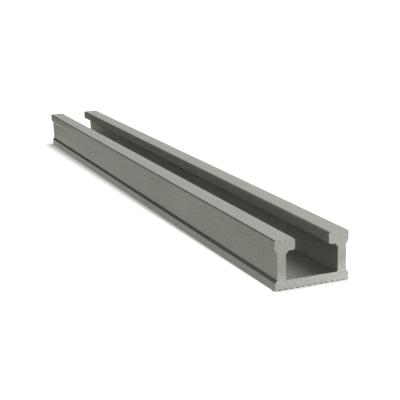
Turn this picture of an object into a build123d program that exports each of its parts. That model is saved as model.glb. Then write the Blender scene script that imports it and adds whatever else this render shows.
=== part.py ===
from build123d import *
import os

# A short length of extruded aluminium T-track. Hex bolts slide head down in its channel, with their
# shanks up through the slot between the two lips. It lies on its grooved underside.
# X is across the track, Y along it and Z up. The origin is the middle of the underside.

# Driving dimensions, in millimetres

# Length as sawn
track_length = 200.0

# What slides in the track
bolt_head_across_flats = 13.0
bolt_head_clearance = 0.2
bolt_shank_diameter = 8.0
bolt_shank_clearance = 0.35

# Thicknesses of the section, from the underside to the top
floor_thickness = 2.25
channel_height = 6.95
lip_thickness = 2.8
wall_thickness = 2.15

# Heads, which stand out from the walls and are bevelled below
head_overhang = 0.65
head_face_height = 2.35
head_bevel_height = 1.05

# Feet, which stand out from the walls and are bevelled above
foot_overhang = 0.6
foot_face_height = 1.9
foot_bevel_height = 0.6

# Bevels in the two upper corners of the channel
channel_bevel_width = 0.65
channel_bevel_height = 1.0

# Roundings left by the die
lip_nose_radius = 0.7
lip_heel_radius = 0.45
head_edge_radius = 0.35
head_bevel_radius = 0.6
head_root_radius = 1.2
channel_floor_radius = 0.35
small_radius = 0.2

# Grooves along the underside, which hold glue and let chips fall clear
groove_pitch = 1.5
groove_mouth_width = 0.95
groove_root_width = 0.5
groove_depth = 0.25
groove_edge_margin = 1.2

# Worked out from the sizes above

channel_half_width = bolt_head_across_flats / 2 + bolt_head_clearance
slot_half_width = bolt_shank_diameter / 2 + bolt_shank_clearance
wall_half_width = channel_half_width + wall_thickness
head_half_width = wall_half_width + head_overhang
foot_half_width = wall_half_width + foot_overhang

lip_underside = floor_thickness + channel_height
track_height = lip_underside + lip_thickness
head_face_bottom = track_height - head_face_height

groove_field_width = 2 * (foot_half_width - groove_edge_margin)
groove_count = round(groove_field_width / groove_pitch) + 1


def right_half_corners():
    """Corners of the section's right half, each with its radius, from the underside round to the floor."""
    return [
        # Foot
        ((foot_half_width, 0), small_radius),
        ((foot_half_width, foot_face_height), small_radius),
        ((wall_half_width, foot_face_height + foot_bevel_height), small_radius),
        # Outside of the wall, and the head
        ((wall_half_width, head_face_bottom - head_bevel_height), head_root_radius),
        ((head_half_width, head_face_bottom), head_bevel_radius),
        ((head_half_width, track_height), head_edge_radius),
        # Lip
        ((slot_half_width, track_height), lip_nose_radius),
        ((slot_half_width, lip_underside), lip_heel_radius),
        ((channel_half_width - channel_bevel_width, lip_underside), small_radius),
        # Inside of the wall
        ((channel_half_width, lip_underside - channel_bevel_height), small_radius),
        ((channel_half_width, floor_thickness), channel_floor_radius),
    ]


def groove_outline():
    """One groove of the underside, wider at its mouth than at its root."""
    return [
        (-groove_mouth_width / 2, 0),
        (groove_mouth_width / 2, 0),
        (groove_root_width / 2, groove_depth),
        (-groove_root_width / 2, groove_depth),
    ]


def track_section():
    """The whole section, which is the shape of the die's opening."""
    corners = right_half_corners()
    outline = [(0, 0)] + [point for point, radius in corners] + [(0, floor_thickness)]
    with BuildSketch(Plane.XZ) as section:
        with BuildLine():
            FilletPolyline(outline, radius=[radius for point, radius in corners])
            mirror(about=Plane.YZ)
        make_face()
        with GridLocations(groove_pitch, 0, groove_count, 1):
            Polygon(groove_outline(), align=None, mode=Mode.SUBTRACT)
    return section.sketch


def track_extrusion():
    """The section drawn out to length, half of it each way from the origin."""
    track = extrude(track_section(), amount=track_length / 2, both=True)
    track.label = "track_extrusion"
    return track


os.makedirs("parts", exist_ok=True)
export_step(track_extrusion(), "parts/track_extrusion.step")
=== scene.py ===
import math
import random

import bmesh
import bpy
from mathutils import Matrix, Vector


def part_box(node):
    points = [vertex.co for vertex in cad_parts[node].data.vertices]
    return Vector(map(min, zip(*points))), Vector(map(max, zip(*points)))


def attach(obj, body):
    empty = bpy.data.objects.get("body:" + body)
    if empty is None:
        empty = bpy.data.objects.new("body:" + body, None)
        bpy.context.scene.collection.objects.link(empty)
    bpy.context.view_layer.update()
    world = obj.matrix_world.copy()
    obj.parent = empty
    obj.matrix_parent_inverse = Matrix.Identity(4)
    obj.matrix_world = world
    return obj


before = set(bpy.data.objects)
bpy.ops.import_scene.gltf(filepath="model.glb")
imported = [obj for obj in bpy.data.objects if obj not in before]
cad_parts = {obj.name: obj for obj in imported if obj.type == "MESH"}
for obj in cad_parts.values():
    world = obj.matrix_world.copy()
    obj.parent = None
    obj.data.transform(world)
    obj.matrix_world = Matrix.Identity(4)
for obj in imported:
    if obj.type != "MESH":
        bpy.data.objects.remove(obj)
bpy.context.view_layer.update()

MM = 0.001

# Outer sizes of the track, from the frame. X is across the track, Y along it and Z up

lowest_corner, highest_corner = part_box("track_extrusion")
TRACK_LENGTH = highest_corner.y - lowest_corner.y
TRACK_HEIGHT = highest_corner.z
HEAD_HALF_WIDTH = highest_corner.x

# Its section, with the sizes that part.py gives it

HEAD_OVERHANG = 0.65 * MM
HEAD_EDGE = 0.35 * MM
WALL_THICKNESS = 2.15 * MM
WALL_FLAT_BOTTOM = 2.6 * MM
WALL_FLAT_TOP = 8.2 * MM
LIP_THICKNESS = 2.8 * MM
LIP_NOSE = 0.7 * MM
LIP_HEEL = 0.45 * MM
SLOT_HALF_WIDTH = 4.35 * MM
CHANNEL_FLOOR = 2.25 * MM
CHANNEL_CORNER = 0.35 * MM
CHANNEL_BEVEL_WIDTH = 0.65 * MM
CHANNEL_BEVEL_HEIGHT = 1.0 * MM

WALL_HALF_WIDTH = HEAD_HALF_WIDTH - HEAD_OVERHANG
CHANNEL_HALF_WIDTH = WALL_HALF_WIDTH - WALL_THICKNESS
LIP_UNDERSIDE = TRACK_HEIGHT - LIP_THICKNESS

# Camera, fitted to the edges in the photograph: a long lens, a little above the track and to its left.
# Its sensor and lens are in millimetres, as Blender takes them

CAMERA_PLACE = Vector((-103.04, -286.52, 75.27)) * MM
CAMERA_AZIMUTH = math.radians(22.17)
CAMERA_TILT_DOWN = math.radians(14.40)
CAMERA_ROLL = math.radians(-1.78)
CAMERA_NEAREST = 10 * MM
SENSOR_WIDTH = 36.0
FOCAL_LENGTH = 88.05

# Finishes. A pattern's size is given across, along and up the track, and its detail says how many finer
# layers lie over it. A contrast holds the levels of a pattern at which the metal is dullest and cleanest.
# A spread is how much rougher than its finish the dullest metal is, and how much smoother the cleanest

# Anodised skin

SKIN_DULL = "#9E9E94"
SKIN_CLEAN = "#B4B4AB"
SKIN_SCRATCHED = "#8A8A80"
SKIN_CONTRAST = (0.34, 0.66)
SKIN_ROUGH = 0.40
SKIN_ROUGH_SPREAD = 0.025
DIE_LINE = (0.35 * MM, 90 * MM, 0.35 * MM)
DIE_LINE_DETAIL = 3.0
ETCH_GRAIN = (0.4 * MM, 0.6 * MM, 0.4 * MM)
ETCH_GRAIN_DETAIL = 1.5
ETCH_SHARE = 0.75
HANDLING_CLOUD = (7 * MM, 26 * MM, 7 * MM)
HANDLING_CLOUD_DETAIL = 2.0
HANDLING_SHARE = 0.2
SCRATCH = (0.16 * MM, 4.5 * MM, 0.16 * MM)
SCRATCH_DETAIL = 0.0
SCRATCH_EDGE = 0.04
SCRATCH_DEPTH = 0.6
LONG_LEAN = (0.07, 0.0, 0.05)
LONG_START = 0.76
SLANTING_LEAN = (-0.55, 0.2, 0.5)
SLANTING_START = 0.78
SKIN_RELIEF = 0.003 * MM

# Inside the channel

CHANNEL_CAST = "#FAFFFF"
# Painted light: the channel's walls and lips are drawn paler, towards this colour, to lift their shade
PAINTED_WALL_LIGHT = "#BFC0B7"
PAINTED_WALL_LIGHT_SHARE = 0.35
WALL_ROUGH = 0.62
LIP_ROUGH = 0.80
# Painted shade in the corners between the channel's walls and floor, and how far up it reaches
CORNER_PAINTED_SHADE = "#7C7C74"
CORNER_SHADE_REACH = 0.45 * MM
CLEAR_OF_EDGE = 0.05 * MM

# Sawn ends

SAWN_TORN = "#D2D2C8"
SAWN_CLEAN = "#F4F4F3"
SAWN_CONTRAST = (0.34, 0.66)
SAWN_ROUGH = 0.45
SAWN_ROUGH_SPREAD = 0.05
TORN_PATCH = 2.6 * MM
TORN_DETAIL = 2.0
TORN_RAGGEDNESS = 0.55
TORN_SEED = 6.3
CHIP_FLECK = (0.5 * MM, 0.5 * MM, 0.5 * MM)
CHIP_FLECK_DETAIL = 1.0
FLECK_SHARE = 0.6
TOOTH_MARK = 0.45 * MM
TOOTH_MARK_DETAIL = 2.0
TOOTH_SHARE = 0.15
BLADE_CENTRE = (80 * MM, 0, 102 * MM)
BLADE_RUN = (4 * MM, 4 * MM, 4 * MM)
BLADE_RUN_DETAIL = 1.0
BLADE_WANDER = 0.8 * MM
# Painted light on the sawn ends: lighter towards the right, with a band of painted shade half way up the
# walls
PAINTED_LIGHT_TO_RIGHT = (0.010 / MM, 0, 0)
PAINTED_SHADE_HEIGHT = 5.5 * MM
PAINTED_SHADE_REACH = 3.5 * MM
PAINTED_SHADE_LOSS = 0.12
SAW_RELIEF = 0.006 * MM

# A face that looks along the track by at least this much is part of a sawn end
FACES_ALONG_TRACK = 0.9

# Burr on the edges of the ends

BURR_HEAVY = 0.16 * MM
BURR_LIGHT = 0.09 * MM
BURR_ROOT = 0.03 * MM
BURR_THICKNESS = 0.09 * MM
BURR_TIP_SHARE = 0.2
BURR_SWELL = 0.6
BURR_STEP = 0.12 * MM
BURR_FEWEST_STEPS = 3
BURR_SHARE = 0.6
SLIVER_LENGTHS = (0.3, 1.1)
SLIVER_GAPS = (0.02, 0.35)
RAGGED_REACH = (0.4, 1.0)
RAGGED_THICKNESS = (0.5, 1.0)
NEAR_END_SEED = 4
FAR_END_SEED = 9

# Studio. To the camera a strength of 1 is white

BACKDROP_WHITE = 1.0
CARD_SIZE = 8000 * MM
CARD_TONE = "#80807A"
SHADE_BEFORE_END = 2.5 * MM
SHADE_BESIDE_NEAR = 0.35 * MM
SHADE_BESIDE_FAR = 6.0 * MM
SHADE_CHANGE = 1.0 * MM
SHADE_SAMPLES = 16
DEPTH_BEFORE_END = 1.0
DEPTH_BESIDE = 3.0
# A painted pool of light on the card, seen only in the metal
CARD_IN_METAL_NEAR = 0.46
CARD_IN_METAL_FAR = 0.2
POOL_OF_LIGHT = 45 * MM
CEILING_LIGHT = "#FFFFFF"
CEILING_START = 0.45
CEILING_BRIGHTNESS = 1.44
HORIZON_BRIGHTNESS = 0.04


def linear(hex_colour):
    """An sRGB hex colour as the linear colour that the shaders take."""
    levels = [int(hex_colour[i : i + 2], 16) / 255 for i in (1, 3, 5)]
    return [v / 12.92 if v <= 0.04045 else ((v + 0.055) / 1.055) ** 2.4 for v in levels] + [1.0]


def add_node(tree, kind, settings=None, links=None):
    """Adds a node. Settings go to its inputs by name or number, or else to its own attributes, and
    links bring other nodes' outputs into its inputs. Inputs that share a name go by number: 0 is a
    mix's share, 2 and 3 are its two numbers, and 6 and 7 its two colours, which come out of 2."""
    node = tree.nodes.new(kind)
    for name, value in (settings or {}).items():
        if isinstance(name, str) and hasattr(node, name):
            setattr(node, name, value)
        else:
            node.inputs[name].default_value = value
    for name, source in (links or {}).items():
        tree.links.new(source, node.inputs[name])
    return node


def new_material(name):
    """A material, its empty node tree, and the place on the object that its patterns follow."""
    material = bpy.data.materials.new(name)
    material.use_nodes = True
    tree = material.node_tree
    tree.nodes.clear()
    return material, tree, add_node(tree, "ShaderNodeTexCoord").outputs["Object"]


def place_camera():
    camera = bpy.data.objects.new("camera", bpy.data.cameras.new("camera"))
    bpy.context.scene.collection.objects.link(camera)
    bpy.context.scene.camera = camera
    camera.data.sensor_width = SENSOR_WIDTH
    camera.data.lens = FOCAL_LENGTH
    camera.data.clip_start = CAMERA_NEAREST
    turn = Matrix.Rotation(-CAMERA_AZIMUTH, 4, "Z")
    tilt = Matrix.Rotation(math.pi / 2 - CAMERA_TILT_DOWN, 4, "X")
    roll = Matrix.Rotation(CAMERA_ROLL, 4, "Z")
    camera.matrix_world = Matrix.Translation(CAMERA_PLACE) @ turn @ tilt @ roll


# What both finishes of the metal share


def uneven(tree, place, size, detail, lean=(0, 0, 0)):
    """Uneven marks of the given size, from dark to light about a middle grey."""
    turned = add_node(
        tree,
        "ShaderNodeMapping",
        {"vector_type": "TEXTURE", "Rotation": lean, "Scale": size},
        {"Vector": place},
    )
    marks = add_node(
        tree, "ShaderNodeTexNoise", {"Scale": 1.0, "Detail": detail}, {"Vector": turned.outputs[0]}
    )
    return marks.outputs["Fac"]


def from_dull_to_clean(tree, marks, contrast, dull, clean):
    """How clean the marks leave the metal, from 0 where it is dullest to 1, and its colour there."""
    cleanness = add_node(
        tree, "ShaderNodeMapRange", {"From Min": contrast[0], "From Max": contrast[1]}, {"Value": marks}
    )
    colour = add_node(
        tree,
        "ShaderNodeMix",
        {"data_type": "RGBA", 6: linear(dull), 7: linear(clean)},
        {0: cleanness.outputs[0]},
    )
    return cleanness.outputs[0], colour.outputs[2]


def finish_metal(tree, colour, roughness, height, depth):
    """The metal that light falls on, with relief of the given depth where the height goes from 0 to 1."""
    relief = add_node(tree, "ShaderNodeBump", {"Strength": 1.0, "Distance": depth}, {"Height": height})
    shader = add_node(
        tree,
        "ShaderNodeBsdfPrincipled",
        {"Metallic": 1.0},
        {"Base Color": colour, "Roughness": roughness, "Normal": relief.outputs[0]},
    )
    add_node(tree, "ShaderNodeOutputMaterial", None, {"Surface": shader.outputs["BSDF"]})


# Anodised aluminium


def channel_masks(tree, place):
    """Four masks, all 0 on the outside of the track: the whole channel, its walls with their lips, the
    lips alone, and the corners between the walls and the floor, which take painted shade."""
    mirrored = add_node(tree, "ShaderNodeVectorMath", {"operation": "ABSOLUTE"}, {0: place})
    spot = add_node(tree, "ShaderNodeSeparateXYZ", None, {0: mirrored.outputs[0]})
    tests = (
        ("X", "LESS_THAN", CHANNEL_HALF_WIDTH + CLEAR_OF_EDGE),
        ("Z", "LESS_THAN", TRACK_HEIGHT - HEAD_EDGE),
        ("Z", "GREATER_THAN", CHANNEL_FLOOR + CLEAR_OF_EDGE),
        ("Z", "GREATER_THAN", LIP_UNDERSIDE - CLEAR_OF_EDGE),
    )
    # Each mask is the one before it, kept only where one more test holds
    masks = []
    for axis, test, limit in tests:
        mask = add_node(tree, "ShaderNodeMath", {"operation": test, 1: limit}, {0: spot.outputs[axis]})
        if masks:
            mask = add_node(
                tree, "ShaderNodeMath", {"operation": "MULTIPLY"}, {0: masks[-1], 1: mask.outputs[0]}
            )
        masks.append(mask.outputs[0])
    channel, walls, lips = masks[1:]
    # Painted shade: the walls are drawn darker close to the channel's floor
    low = add_node(
        tree,
        "ShaderNodeMapRange",
        {"From Min": CHANNEL_FLOOR + CORNER_SHADE_REACH, "From Max": CHANNEL_FLOOR + CLEAR_OF_EDGE},
        {"Value": spot.outputs["Z"]},
    )
    corners = add_node(tree, "ShaderNodeMath", {"operation": "MULTIPLY"}, {0: walls, 1: low.outputs[0]})
    return channel, walls, lips, corners.outputs[0]


def scratches(tree, place, lean, start):
    """Thin marks from handling, which lean one way from the length of the track."""
    streaks = uneven(tree, place, SCRATCH, SCRATCH_DETAIL, lean)
    return add_node(
        tree,
        "ShaderNodeMapRange",
        {"From Min": start, "From Max": start + SCRATCH_EDGE},
        {"Value": streaks},
    ).outputs[0]


def anodised_aluminium():
    """Extruded, etched and clear anodised. The etch turns the metal satin, so the eye gets an even grey
    with soft broad highlights, a fine grain and faint lines along the length where the die dragged."""
    material, tree, place = new_material("anodised aluminium, extruded and etched")

    # Real die lines are about 0.1 mm apart. They are drawn at 0.35 mm, about one pixel, so as to show
    die_lines = uneven(tree, place, DIE_LINE, DIE_LINE_DETAIL)
    # The etch pits the surface at about 0.03 mm, drawn over ten times coarser so as to show
    etch_grain = uneven(tree, place, ETCH_GRAIN, ETCH_GRAIN_DETAIL)
    # Faint clouds where hands and packing have touched the skin
    clouds = uneven(tree, place, HANDLING_CLOUD, HANDLING_CLOUD_DETAIL)
    skin = add_node(
        tree, "ShaderNodeMix", {"data_type": "FLOAT", 0: ETCH_SHARE}, {2: die_lines, 3: etch_grain}
    )
    clouded = add_node(
        tree,
        "ShaderNodeMix",
        {"data_type": "FLOAT", 0: HANDLING_SHARE},
        {2: skin.outputs[0], 3: clouds},
    )
    cleanness, colour = from_dull_to_clean(
        tree, clouded.outputs[0], SKIN_CONTRAST, SKIN_DULL, SKIN_CLEAN
    )

    # In the channel the skin is a shade greener. The walls and lips are drawn paler, as painted light that
    # lifts their shade, and the corners by the floor darker, as painted shade. The scratches come over all
    # of it
    channel, walls, lips, corners = channel_masks(tree, place)
    painted_wall_light = add_node(
        tree, "ShaderNodeMath", {"operation": "MULTIPLY", 1: PAINTED_WALL_LIGHT_SHARE}, {0: walls}
    )
    marks = add_node(
        tree,
        "ShaderNodeMath",
        {"operation": "MAXIMUM"},
        {
            0: scratches(tree, place, LONG_LEAN, LONG_START),
            1: scratches(tree, place, SLANTING_LEAN, SLANTING_START),
        },
    )
    for share, shade, way in (
        (channel, CHANNEL_CAST, "MULTIPLY"),
        (painted_wall_light.outputs[0], PAINTED_WALL_LIGHT, "MIX"),
        (corners, CORNER_PAINTED_SHADE, "MIX"),
        (marks.outputs[0], SKIN_SCRATCHED, "MIX"),
    ):
        colour = add_node(
            tree,
            "ShaderNodeMix",
            {"data_type": "RGBA", "blend_type": way, 7: linear(shade)},
            {0: share, 6: colour},
        ).outputs[2]

    # The die polishes the outside. It leaves the walls of the channel rougher, and the lips most of all
    wall_rough = add_node(
        tree, "ShaderNodeMapRange", {"To Min": SKIN_ROUGH, "To Max": WALL_ROUGH}, {"Value": walls}
    )
    drawn_rough = add_node(
        tree,
        "ShaderNodeMix",
        {"data_type": "FLOAT", 3: LIP_ROUGH},
        {0: lips, 2: wall_rough.outputs[0]},
    )
    duller = add_node(
        tree,
        "ShaderNodeMapRange",
        {"To Min": SKIN_ROUGH_SPREAD, "To Max": -SKIN_ROUGH_SPREAD},
        {"Value": cleanness},
    )
    roughness = add_node(
        tree, "ShaderNodeMath", {"operation": "ADD"}, {0: drawn_rough.outputs[0], 1: duller.outputs[0]}
    )
    height = add_node(
        tree,
        "ShaderNodeMath",
        {"operation": "MULTIPLY_ADD", 1: -SCRATCH_DEPTH},
        {0: marks.outputs[0], 2: skin.outputs[0]},
    )
    finish_metal(tree, colour, roughness.outputs[0], height.outputs[0], SKIN_RELIEF)
    return material


# Sawn ends


def tooth_arcs(tree, place):
    """Arcs that the teeth leave round the middle of the blade, which wander a little as it chatters."""
    from_blade = add_node(
        tree, "ShaderNodeVectorMath", {"operation": "SUBTRACT", 1: BLADE_CENTRE}, {0: place}
    )
    in_the_cut = add_node(
        tree,
        "ShaderNodeVectorMath",
        {"operation": "MULTIPLY", 1: (1, 0, 1)},
        {0: from_blade.outputs[0]},
    )
    radius = add_node(tree, "ShaderNodeVectorMath", {"operation": "LENGTH"}, {0: in_the_cut.outputs[0]})
    shift = uneven(tree, place, BLADE_RUN, BLADE_RUN_DETAIL)
    wandering = add_node(
        tree,
        "ShaderNodeMath",
        {"operation": "MULTIPLY_ADD", 1: BLADE_WANDER},
        {0: shift, 2: radius.outputs["Value"]},
    )
    arcs = add_node(
        tree,
        "ShaderNodeTexNoise",
        {"noise_dimensions": "1D", "Scale": 1 / TOOTH_MARK, "Detail": TOOTH_MARK_DETAIL},
        {"W": wandering.outputs[0]},
    )
    return arcs.outputs["Fac"]


def painted_light_on_cut(tree, place):
    """Painted light on the cut: how much lighter the end is drawn than at its middle. It is drawn lighter
    towards the right, and painted shade darkens it half way up the walls."""
    lighter_to_right = add_node(
        tree, "ShaderNodeVectorMath", {"operation": "DOT_PRODUCT", 1: PAINTED_LIGHT_TO_RIGHT}, {0: place}
    )
    spot = add_node(tree, "ShaderNodeSeparateXYZ", None, {0: place})
    over_middle = add_node(
        tree, "ShaderNodeMath", {"operation": "SUBTRACT", 1: PAINTED_SHADE_HEIGHT}, {0: spot.outputs["Z"]}
    )
    off_middle = add_node(tree, "ShaderNodeMath", {"operation": "ABSOLUTE"}, {0: over_middle.outputs[0]})
    shift = add_node(
        tree,
        "ShaderNodeMapRange",
        {
            "interpolation_type": "SMOOTHSTEP",
            "From Max": PAINTED_SHADE_REACH,
            "To Min": -PAINTED_SHADE_LOSS,
            "To Max": 0.0,
        },
        {"Value": off_middle.outputs[0]},
    )
    return add_node(
        tree,
        "ShaderNodeMath",
        {"operation": "ADD"},
        {0: lighter_to_right.outputs["Value"], 1: shift.outputs[0]},
    ).outputs[0]


def sawn_aluminium():
    """Bare aluminium cut by a circular saw after anodising. The eye gets a brighter face than the skin,
    mottled where chips tore out or smeared, with faint arcs from the teeth."""
    material, tree, place = new_material("bare aluminium, sawn")

    torn = add_node(
        tree,
        "ShaderNodeTexNoise",
        {
            "noise_dimensions": "4D",
            "W": TORN_SEED,
            "Scale": 1 / TORN_PATCH,
            "Detail": TORN_DETAIL,
            "Roughness": TORN_RAGGEDNESS,
        },
        {"Vector": place},
    )
    # Chips tear out flecks of about 0.1 mm, drawn at 0.5 mm so as to show
    flecks = uneven(tree, place, CHIP_FLECK, CHIP_FLECK_DETAIL)
    mottle = add_node(
        tree,
        "ShaderNodeMix",
        {"data_type": "FLOAT", 0: FLECK_SHARE},
        {2: torn.outputs["Fac"], 3: flecks},
    )
    # The teeth's arcs are about 0.1 mm apart, drawn at 0.45 mm so as to show
    cut = add_node(
        tree,
        "ShaderNodeMix",
        {"data_type": "FLOAT", 0: TOOTH_SHARE},
        {2: mottle.outputs[0], 3: tooth_arcs(tree, place)},
    )
    # Painted light and shade over the cut's own mottle
    cut_with_painted_light = add_node(
        tree,
        "ShaderNodeMath",
        {"operation": "ADD"},
        {0: cut.outputs[0], 1: painted_light_on_cut(tree, place)},
    )
    cleanness, colour = from_dull_to_clean(
        tree, cut_with_painted_light.outputs[0], SAWN_CONTRAST, SAWN_TORN, SAWN_CLEAN
    )
    roughness = add_node(
        tree,
        "ShaderNodeMapRange",
        {"To Min": SAWN_ROUGH + SAWN_ROUGH_SPREAD, "To Max": SAWN_ROUGH - SAWN_ROUGH_SPREAD},
        {"Value": cleanness},
    )
    finish_metal(tree, colour, roughness.outputs[0], cut.outputs[0], SAW_RELIEF)
    return material


# Track


def dress_track(skin, cut):
    """Gives the sawn ends the metal of the cut, and every other face the skin."""
    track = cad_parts["track_extrusion"]
    track.data.materials.clear()
    track.data.materials.append(skin)
    track.data.materials.append(cut)
    for face in track.data.polygons:
        face.material_index = int(abs(face.normal.y) > FACES_ALONG_TRACK)


# Burr


def burr_edges():
    """The straight edges of an end's section that carry burr: where each starts and stops, the way its
    burr leans out, and how far. Points and ways are given across and up. Along the channel's walls and
    the lips' noses, the blade pushed more of it over the right edges than over the left ones."""
    bevel = LIP_UNDERSIDE - CHANNEL_BEVEL_HEIGHT
    floor_run = CHANNEL_HALF_WIDTH - CHANNEL_CORNER
    floor_edge = ((-floor_run, CHANNEL_FLOOR), (floor_run, CHANNEL_FLOOR), (0, 1), BURR_LIGHT)
    edges = [floor_edge]
    for side, reach in ((1, BURR_HEAVY), (-1, BURR_LIGHT)):
        inner, nose, outer = side * CHANNEL_HALF_WIDTH, side * SLOT_HALF_WIDTH, side * WALL_HALF_WIDTH
        heel = side * (SLOT_HALF_WIDTH + LIP_HEEL)
        lip_root = side * (CHANNEL_HALF_WIDTH - CHANNEL_BEVEL_WIDTH)
        edges += [
            ((inner, CHANNEL_FLOOR + CHANNEL_CORNER), (inner, bevel), (-side, 0), reach),
            ((heel, LIP_UNDERSIDE), (lip_root, LIP_UNDERSIDE), (0, -1), BURR_HEAVY),
            ((nose, LIP_UNDERSIDE + LIP_HEEL), (nose, TRACK_HEIGHT - LIP_NOSE), (-side, 0), reach),
            ((outer, WALL_FLAT_BOTTOM), (outer, WALL_FLAT_TOP), (side, 0), BURR_HEAVY),
        ]
    return edges


def sliver(mesh, dice, start, along, out, reach, end):
    """One sliver of burr, a tapering ragged strip that is rooted in the edge and lies within the end."""
    steps = max(BURR_FEWEST_STEPS, round(along.length / BURR_STEP))
    inward = math.copysign(1, -end)
    rows = []
    for k in range(steps + 1):
        swell = math.sin(math.pi * k / steps) ** BURR_SWELL
        edge = start + along * k / steps
        tip = edge + out * reach * swell * dice.uniform(*RAGGED_REACH)
        root = edge - out * BURR_ROOT
        thickness = BURR_ROOT + BURR_THICKNESS * swell * dice.uniform(*RAGGED_THICKNESS)
        corners = [
            (root.x, end, root.y),
            (tip.x, end + inward * BURR_TIP_SHARE * thickness, tip.y),
            (root.x, end + inward * thickness, root.y),
        ]
        rows.append([mesh.verts.new(corner) for corner in corners])
    for row, following in zip(rows, rows[1:]):
        for i in range(len(row)):
            j = (i + 1) % len(row)
            mesh.faces.new((row[i], row[j], following[j], following[i]))
    mesh.faces.new(rows[0])
    mesh.faces.new(rows[-1][::-1])


def saw_burr(name, end, seed, metal):
    """What the blade pushed over the edges of one end and left there. It is thin and broken, and none of
    it stands beyond the heads, the feet or the cut itself."""
    dice = random.Random(seed)
    mesh = bmesh.new()
    for start, stop, out, reach in burr_edges():
        start, stop, out = Vector(start), Vector(stop), Vector(out)
        run = stop - start
        at = 0.0
        while at < 1.0:
            step = min(dice.uniform(*SLIVER_LENGTHS) * MM / run.length, 1.0 - at)
            if dice.random() < BURR_SHARE:
                sliver(mesh, dice, start + run * at, run * step, out, reach, end)
            at += step + dice.uniform(*SLIVER_GAPS) * MM / run.length
    bmesh.ops.recalc_face_normals(mesh, faces=mesh.faces)
    burr = bpy.data.objects.new(name, bpy.data.meshes.new(name))
    mesh.to_mesh(burr.data)
    mesh.free()
    burr.data.materials.append(metal)
    bpy.context.scene.collection.objects.link(burr)
    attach(burr, "root")


# Studio: a white card, three soft lamps, and a ceiling that is bright overhead


def contact_shade(tree, place):
    """How much of its white the card keeps close to the track. As in the photograph, the shade is soft
    and light before the near end, and dark along the sides, narrow near the camera and wider far off."""
    spot = add_node(tree, "ShaderNodeSeparateXYZ", None, {0: place})
    before_end = add_node(
        tree,
        "ShaderNodeMapRange",
        {"From Min": -TRACK_LENGTH / 2 + SHADE_CHANGE, "From Max": -TRACK_LENGTH / 2},
        {"Value": spot.outputs["Y"]},
    )
    beside = add_node(
        tree,
        "ShaderNodeMapRange",
        {
            "From Min": -TRACK_LENGTH / 2,
            "From Max": TRACK_LENGTH / 2,
            "To Min": SHADE_BESIDE_NEAR,
            "To Max": SHADE_BESIDE_FAR,
        },
        {"Value": spot.outputs["Y"]},
    )
    reach = add_node(
        tree,
        "ShaderNodeMix",
        {"data_type": "FLOAT", 3: SHADE_BEFORE_END},
        {0: before_end.outputs[0], 2: beside.outputs[0]},
    )
    depth = add_node(
        tree,
        "ShaderNodeMapRange",
        {"To Min": DEPTH_BESIDE, "To Max": DEPTH_BEFORE_END},
        {"Value": before_end.outputs[0]},
    )
    open_over = add_node(
        tree, "ShaderNodeAmbientOcclusion", {"samples": SHADE_SAMPLES}, {"Distance": reach.outputs[0]}
    )
    return add_node(
        tree,
        "ShaderNodeMath",
        {"operation": "POWER"},
        {0: open_over.outputs["AO"], 1: depth.outputs[0]},
    ).outputs[0]


def pool_of_light(tree, place):
    """A painted pool of light: how bright the card is in the metal, most close round the track, where the
    lamps are aimed.
    """
    mirrored = add_node(tree, "ShaderNodeVectorMath", {"operation": "ABSOLUTE"}, {0: place})
    past_edge = add_node(
        tree,
        "ShaderNodeVectorMath",
        {"operation": "SUBTRACT", 1: (HEAD_HALF_WIDTH, TRACK_LENGTH / 2, 0)},
        {0: mirrored.outputs[0]},
    )
    outside = add_node(
        tree, "ShaderNodeVectorMath", {"operation": "MAXIMUM", 1: (0, 0, 0)}, {0: past_edge.outputs[0]}
    )
    away = add_node(tree, "ShaderNodeVectorMath", {"operation": "LENGTH"}, {0: outside.outputs[0]})
    return add_node(
        tree,
        "ShaderNodeMapRange",
        {"From Max": POOL_OF_LIGHT, "To Min": CARD_IN_METAL_NEAR, "To Max": CARD_IN_METAL_FAR},
        {"Value": away.outputs["Value"]},
    ).outputs[0]


def white_card():
    """The card is past white in the photograph. To the camera that white is the card's own, dimmed close
    to the track, and the lamps' light and shadow come on top. Metal sees the card by Is Glossy Ray."""
    material, tree, place = new_material("white card")
    rays = add_node(tree, "ShaderNodeLightPath")
    to_camera = add_node(
        tree,
        "ShaderNodeMath",
        {"operation": "MULTIPLY"},
        {0: rays.outputs["Is Camera Ray"], 1: contact_shade(tree, place)},
    )
    strength = add_node(
        tree,
        "ShaderNodeMath",
        {"operation": "MULTIPLY_ADD"},
        {0: rays.outputs["Is Glossy Ray"], 1: pool_of_light(tree, place), 2: to_camera.outputs[0]},
    )
    own_white = add_node(tree, "ShaderNodeEmission", None, {"Strength": strength.outputs[0]})
    lit = add_node(tree, "ShaderNodeBsdfDiffuse", {"Color": linear(CARD_TONE)})
    card = add_node(tree, "ShaderNodeAddShader", None, {0: lit.outputs[0], 1: own_white.outputs[0]})
    add_node(tree, "ShaderNodeOutputMaterial", None, {"Surface": card.outputs[0]})
    return material


def lay_card():
    bpy.ops.mesh.primitive_plane_add(size=CARD_SIZE)
    card = bpy.context.object
    card.name = "card"
    card.data.materials.append(white_card())


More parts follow.
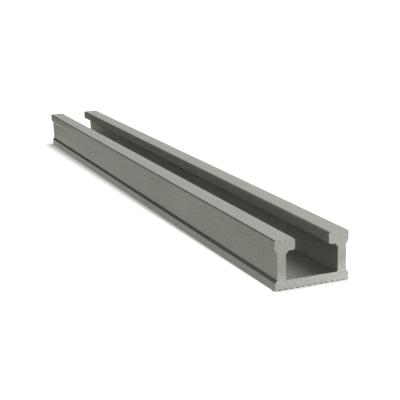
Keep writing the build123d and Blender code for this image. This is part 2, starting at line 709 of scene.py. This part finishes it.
def hang_ceiling():
    """Dark towards the horizon, which draws the dark line along the foot's bevel, and bright overhead."""
    world = bpy.data.worlds.new("studio")
    bpy.context.scene.world = world
    world.use_nodes = True
    tree = world.node_tree
    tree.nodes.clear()
    rays = add_node(tree, "ShaderNodeLightPath")
    way = add_node(tree, "ShaderNodeTexCoord")
    height = add_node(tree, "ShaderNodeSeparateXYZ", None, {0: way.outputs["Generated"]})
    ceiling = add_node(
        tree,
        "ShaderNodeMapRange",
        {
            "interpolation_type": "SMOOTHSTEP",
            "From Min": CEILING_START,
            "To Min": HORIZON_BRIGHTNESS,
            "To Max": CEILING_BRIGHTNESS,
        },
        {"Value": height.outputs["Z"]},
    )
    seen = add_node(
        tree,
        "ShaderNodeMix",
        {"data_type": "FLOAT", 3: BACKDROP_WHITE},
        {0: rays.outputs["Is Camera Ray"], 2: ceiling.outputs[0]},
    )
    light = add_node(
        tree, "ShaderNodeBackground", {"Color": linear(CEILING_LIGHT)}, {"Strength": seen.outputs[0]}
    )
    add_node(tree, "ShaderNodeOutputWorld", None, {"Surface": light.outputs[0]})


def softbox(name, azimuth, elevation, distance, width, height, radiance):
    """A soft lamp that faces the track. Its azimuth is in degrees from +Y towards +X, and its distance and
    sides are in metres."""
    lamp = bpy.data.objects.new(name, bpy.data.lights.new(name, "AREA"))
    bpy.context.scene.collection.objects.link(lamp)
    lamp.data.shape = "RECTANGLE"
    lamp.data.size, lamp.data.size_y = width, height
    lamp.data.energy = radiance * math.pi * width * height
    turn, rise = math.radians(azimuth), math.radians(elevation)
    way = Vector((math.sin(turn) * math.cos(rise), math.cos(turn) * math.cos(rise), math.sin(rise)))
    lamp.location = way * distance
    lamp.rotation_mode = "QUATERNION"
    lamp.rotation_quaternion = way.to_track_quat("Z", "Y")
    lamp.visible_camera = False


def light_studio():
    # Low behind and to the right, where the heads' top faces reflect
    softbox(
        "softbox_behind", azimuth=36, elevation=22, distance=1.5, width=1.6, height=0.9, radiance=0.72
    )
    # High on the right, down the slot onto the channel's floor and left wall
    softbox(
        "softbox_right", azimuth=79, elevation=45, distance=1.2, width=1.2, height=1.2, radiance=2.2
    )
    # Weak and low in front, for the sawn end
    softbox(
        "softbox_front", azimuth=150, elevation=12, distance=1.5, width=1.6, height=0.6, radiance=0.5
    )


place_camera()
lay_card()
hang_ceiling()
light_studio()

sawn = sawn_aluminium()
dress_track(anodised_aluminium(), sawn)
saw_burr("near_end_burr", -TRACK_LENGTH / 2, NEAR_END_SEED, sawn)
saw_burr("far_end_burr", TRACK_LENGTH / 2, FAR_END_SEED, sawn)

bpy.context.scene.view_settings.view_transform = "Standard"
